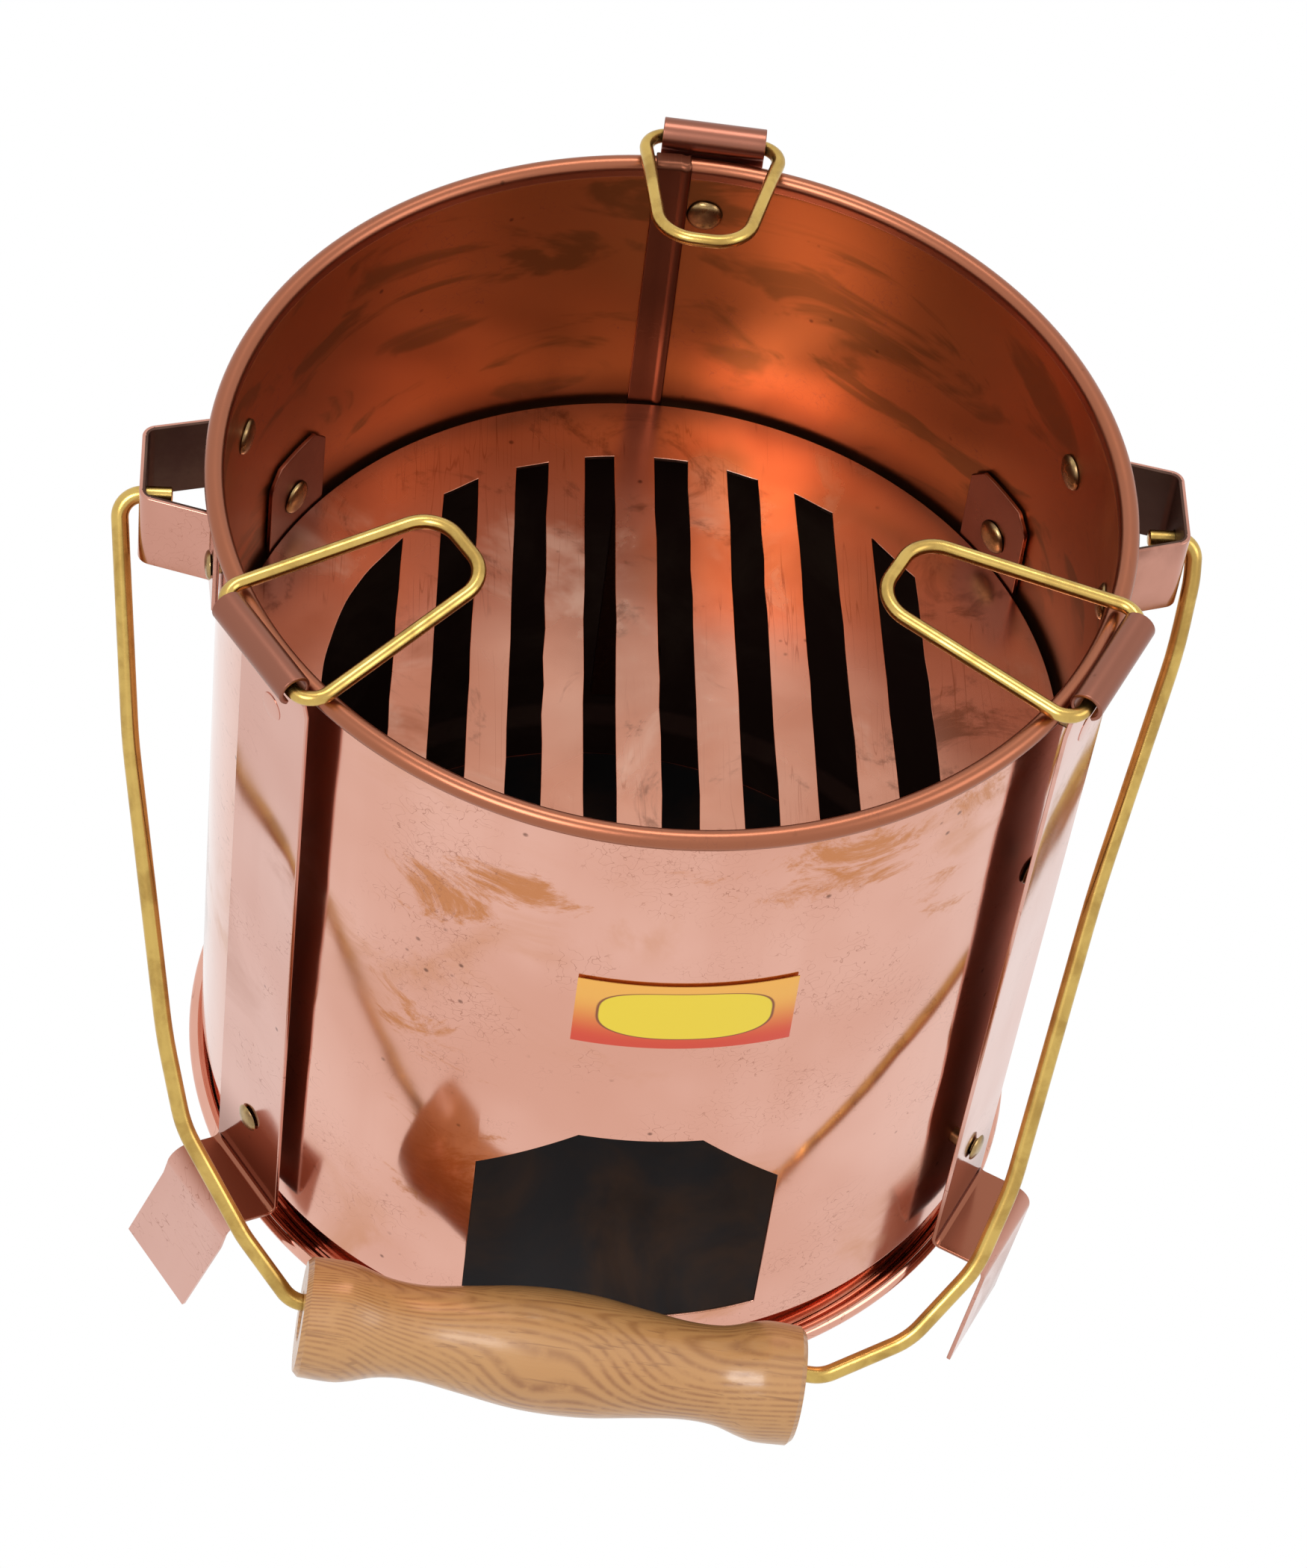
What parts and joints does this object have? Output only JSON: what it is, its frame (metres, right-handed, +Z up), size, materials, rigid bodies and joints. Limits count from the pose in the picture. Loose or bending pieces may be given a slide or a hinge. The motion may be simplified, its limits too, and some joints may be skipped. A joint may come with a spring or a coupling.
{
  "type": "charcoal brazier",
  "caption": "Round copper charcoal brazier with an air opening, a slotted grate, fold-out wire pot rests, bent strap legs and a wooden-gripped bail.",
  "frame": {"origin": "middle of the footprint, on the floor", "axes": "+Z up, air opening towards -Y, +X to the right when facing the opening"},
  "size_m": [0.243, 0.2438, 0.2352],
  "materials": {
    "copper": "polished",
    "brass_wire": "satin",
    "rivet_brass": "satin",
    "steel_wire": "dull",
    "wood": "semi-gloss",
    "sticker": "satin"
  },
  "bodies": {
    "brazier": {"bail_bracket_left": "copper", "bail_bracket_left_rivet_back": "rivet_brass", "bail_bracket_left_rivet_front": "rivet_brass", "bail_bracket_right": "copper", "bail_bracket_right_rivet_back": "rivet_brass", "bail_bracket_right_rivet_front": "rivet_brass", "base_pan": "copper", "body_shell": "copper", "grate": "copper", "grate_tab_back_left": "copper", "grate_tab_back_left_rivet": "rivet_brass", "grate_tab_back_right": "copper", "grate_tab_back_right_rivet": "rivet_brass", "grate_tab_front_left": "copper", "grate_tab_front_left_rivet": "rivet_brass", "grate_tab_front_right": "copper", "grate_tab_front_right_rivet": "rivet_brass", "label": "sticker", "leg_back": "copper", "leg_back_rivet_bottom": "rivet_brass", "leg_back_rivet_top": "rivet_brass", "leg_left": "copper", "leg_left_rivet_bottom": "rivet_brass", "leg_left_rivet_top": "rivet_brass", "leg_right": "copper", "leg_right_rivet_bottom": "rivet_brass", "leg_right_rivet_top": "rivet_brass", "rim_wire": "steel_wire"},
    "pot_rest_left": {"pot_rest_left": "brass_wire"},
    "pot_rest_right": {"pot_rest_right": "brass_wire"},
    "pot_rest_back": {"pot_rest_back": "brass_wire"},
    "bail": {"bail_wire": "brass_wire"},
    "grip": {"grip": "wood"}
  },
  "joints": [
    {"name": "pot_rest_left_hinge", "type": "hinge", "parent": "brazier", "child": "pot_rest_left", "pos_m": [-0.08788, -0.04986, 0.2292], "axis": [0.5402, -0.8415, 0], "range_deg": [0, 255]},
    {"name": "pot_rest_right_hinge", "type": "hinge", "parent": "brazier", "child": "pot_rest_right", "pos_m": [0.09214, -0.04404, 0.2292], "axis": [0.4848, 0.8746, 0], "range_deg": [0, 255]},
    {"name": "pot_rest_back_hinge", "type": "hinge", "parent": "brazier", "child": "pot_rest_back", "pos_m": [0.01136, 0.11114, 0.2292], "axis": [-0.9945, 0.1045, 0], "range_deg": [0, 255]},
    {"name": "bail_hinge", "type": "hinge", "parent": "brazier", "child": "bail", "pos_m": [0.00039, 0.01707, 0.2035], "axis": [-1, -0.0065, 0], "range_deg": [0, 275]},
    {"name": "grip_spin", "type": "hinge", "parent": "bail", "child": "grip", "pos_m": [-0.01421, -0.10449, 0.05351], "axis": [0.9939, -0.0652, -0.0885], "continuous": true}
  ]
}
